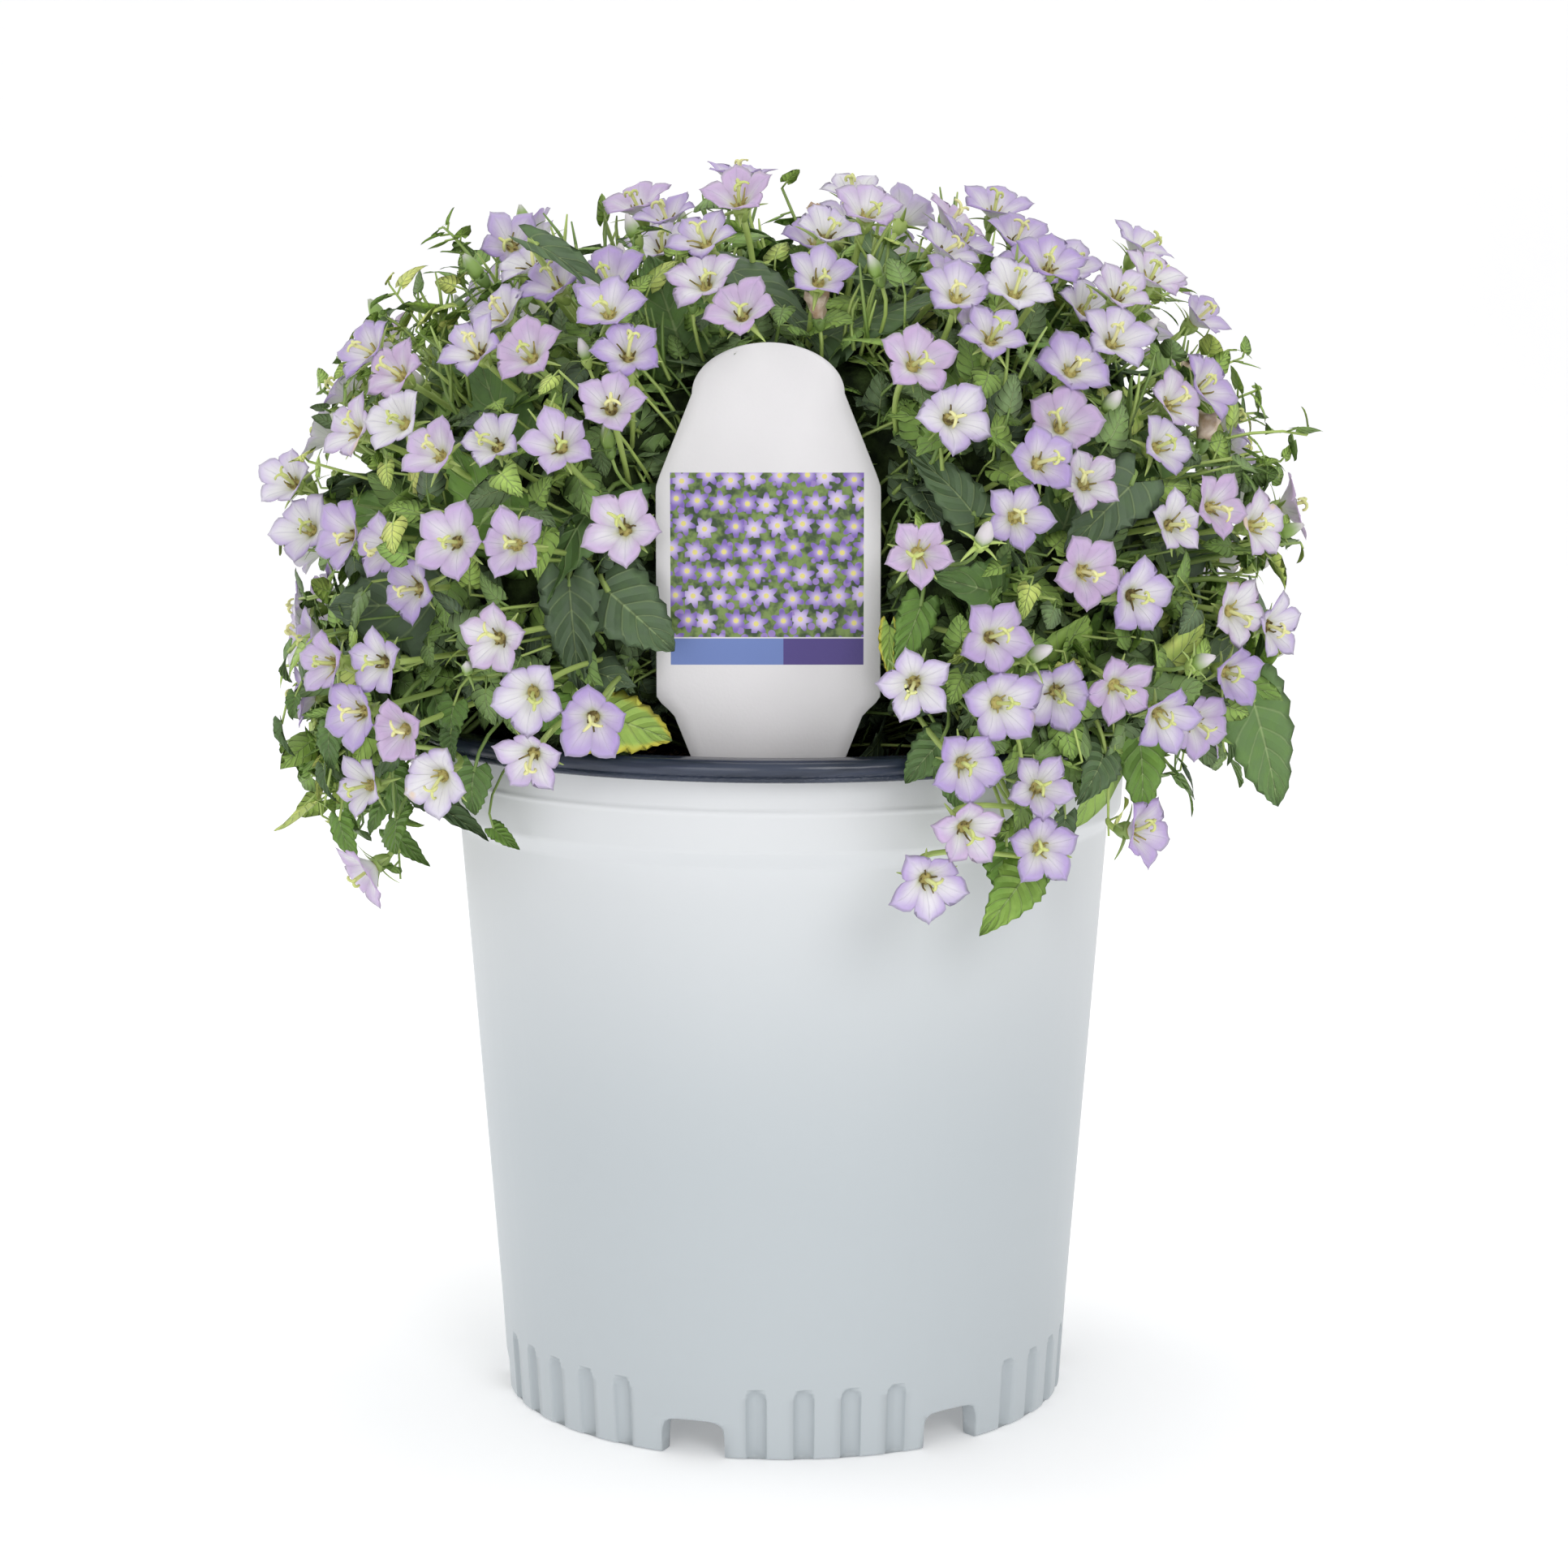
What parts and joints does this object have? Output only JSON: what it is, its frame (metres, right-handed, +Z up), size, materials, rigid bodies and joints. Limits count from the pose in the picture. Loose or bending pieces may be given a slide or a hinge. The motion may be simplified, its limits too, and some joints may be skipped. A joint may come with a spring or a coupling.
{
  "type": "potted carpathian bellflower",
  "caption": "Flowering bellflower plant, a leafy dome of pale lilac open bells, growing in a round plastic nursery pot filled with soil, with a plain stake label at the front",
  "frame": {"origin": "on the ground plane, at the middle of the pot's foot ring, which is under the middle of the whole plant to within 2 mm", "axes": "+Z up along the pot's axis, -Y is the front with the label, +X to the right as seen from the front"},
  "size_m": [0.2578, 0.2478, 0.3079],
  "materials": {
    "pot_plastic": "moulded pale blue-white plastic with a satin sheen, and a dark slate rim and inside",
    "peat": "rough dark peat with bark chips and white perlite",
    "label_plastic": "smooth white plastic sheet with a printed front",
    "leaf_green": "soft matte green leaves and stems with paler veins",
    "petal_lilac": "thin satin petals, white at the heart and lilac at the tips"
  },
  "bodies": {
    "root": {"pot": "pot_plastic", "soil": "peat", "label": "label_plastic", "foliage": "leaf_green", "blooms_01": "petal_lilac", "blooms_02": "petal_lilac", "blooms_03": "petal_lilac", "blooms_04": "petal_lilac", "blooms_05": "petal_lilac", "blooms_06": "petal_lilac", "blooms_07": "petal_lilac", "blooms_08": "petal_lilac", "blooms_09": "petal_lilac", "blooms_10": "petal_lilac", "blooms_11": "petal_lilac", "blooms_12": "petal_lilac", "blooms_13": "petal_lilac", "blooms_14": "petal_lilac", "blooms_15": "petal_lilac", "blooms_16": "petal_lilac", "blooms_17": "petal_lilac", "blooms_18": "petal_lilac", "blooms_19": "petal_lilac", "blooms_20": "petal_lilac", "blooms_21": "petal_lilac", "blooms_22": "petal_lilac", "blooms_23": "petal_lilac", "blooms_24": "petal_lilac", "blooms_25": "petal_lilac", "blooms_26": "petal_lilac", "blooms_27": "petal_lilac", "blooms_28": "petal_lilac", "blooms_29": "petal_lilac", "blooms_30": "petal_lilac", "blooms_31": "petal_lilac", "blooms_32": "petal_lilac", "blooms_33": "petal_lilac", "blooms_34": "petal_lilac", "blooms_35": "petal_lilac", "blooms_36": "petal_lilac", "blooms_37": "petal_lilac", "blooms_38": "petal_lilac", "blooms_39": "petal_lilac", "blooms_40": "petal_lilac", "blooms_41": "petal_lilac", "blooms_42": "petal_lilac", "blooms_43": "petal_lilac", "blooms_44": "petal_lilac", "blooms_45": "petal_lilac", "blooms_46": "petal_lilac", "blooms_47": "petal_lilac", "blooms_48": "petal_lilac", "blooms_49": "petal_lilac", "blooms_50": "petal_lilac", "blooms_51": "petal_lilac", "blooms_52": "petal_lilac", "blooms_53": "petal_lilac", "blooms_54": "petal_lilac", "blooms_55": "petal_lilac", "blooms_56": "petal_lilac"}
  },
  "joints": []
}
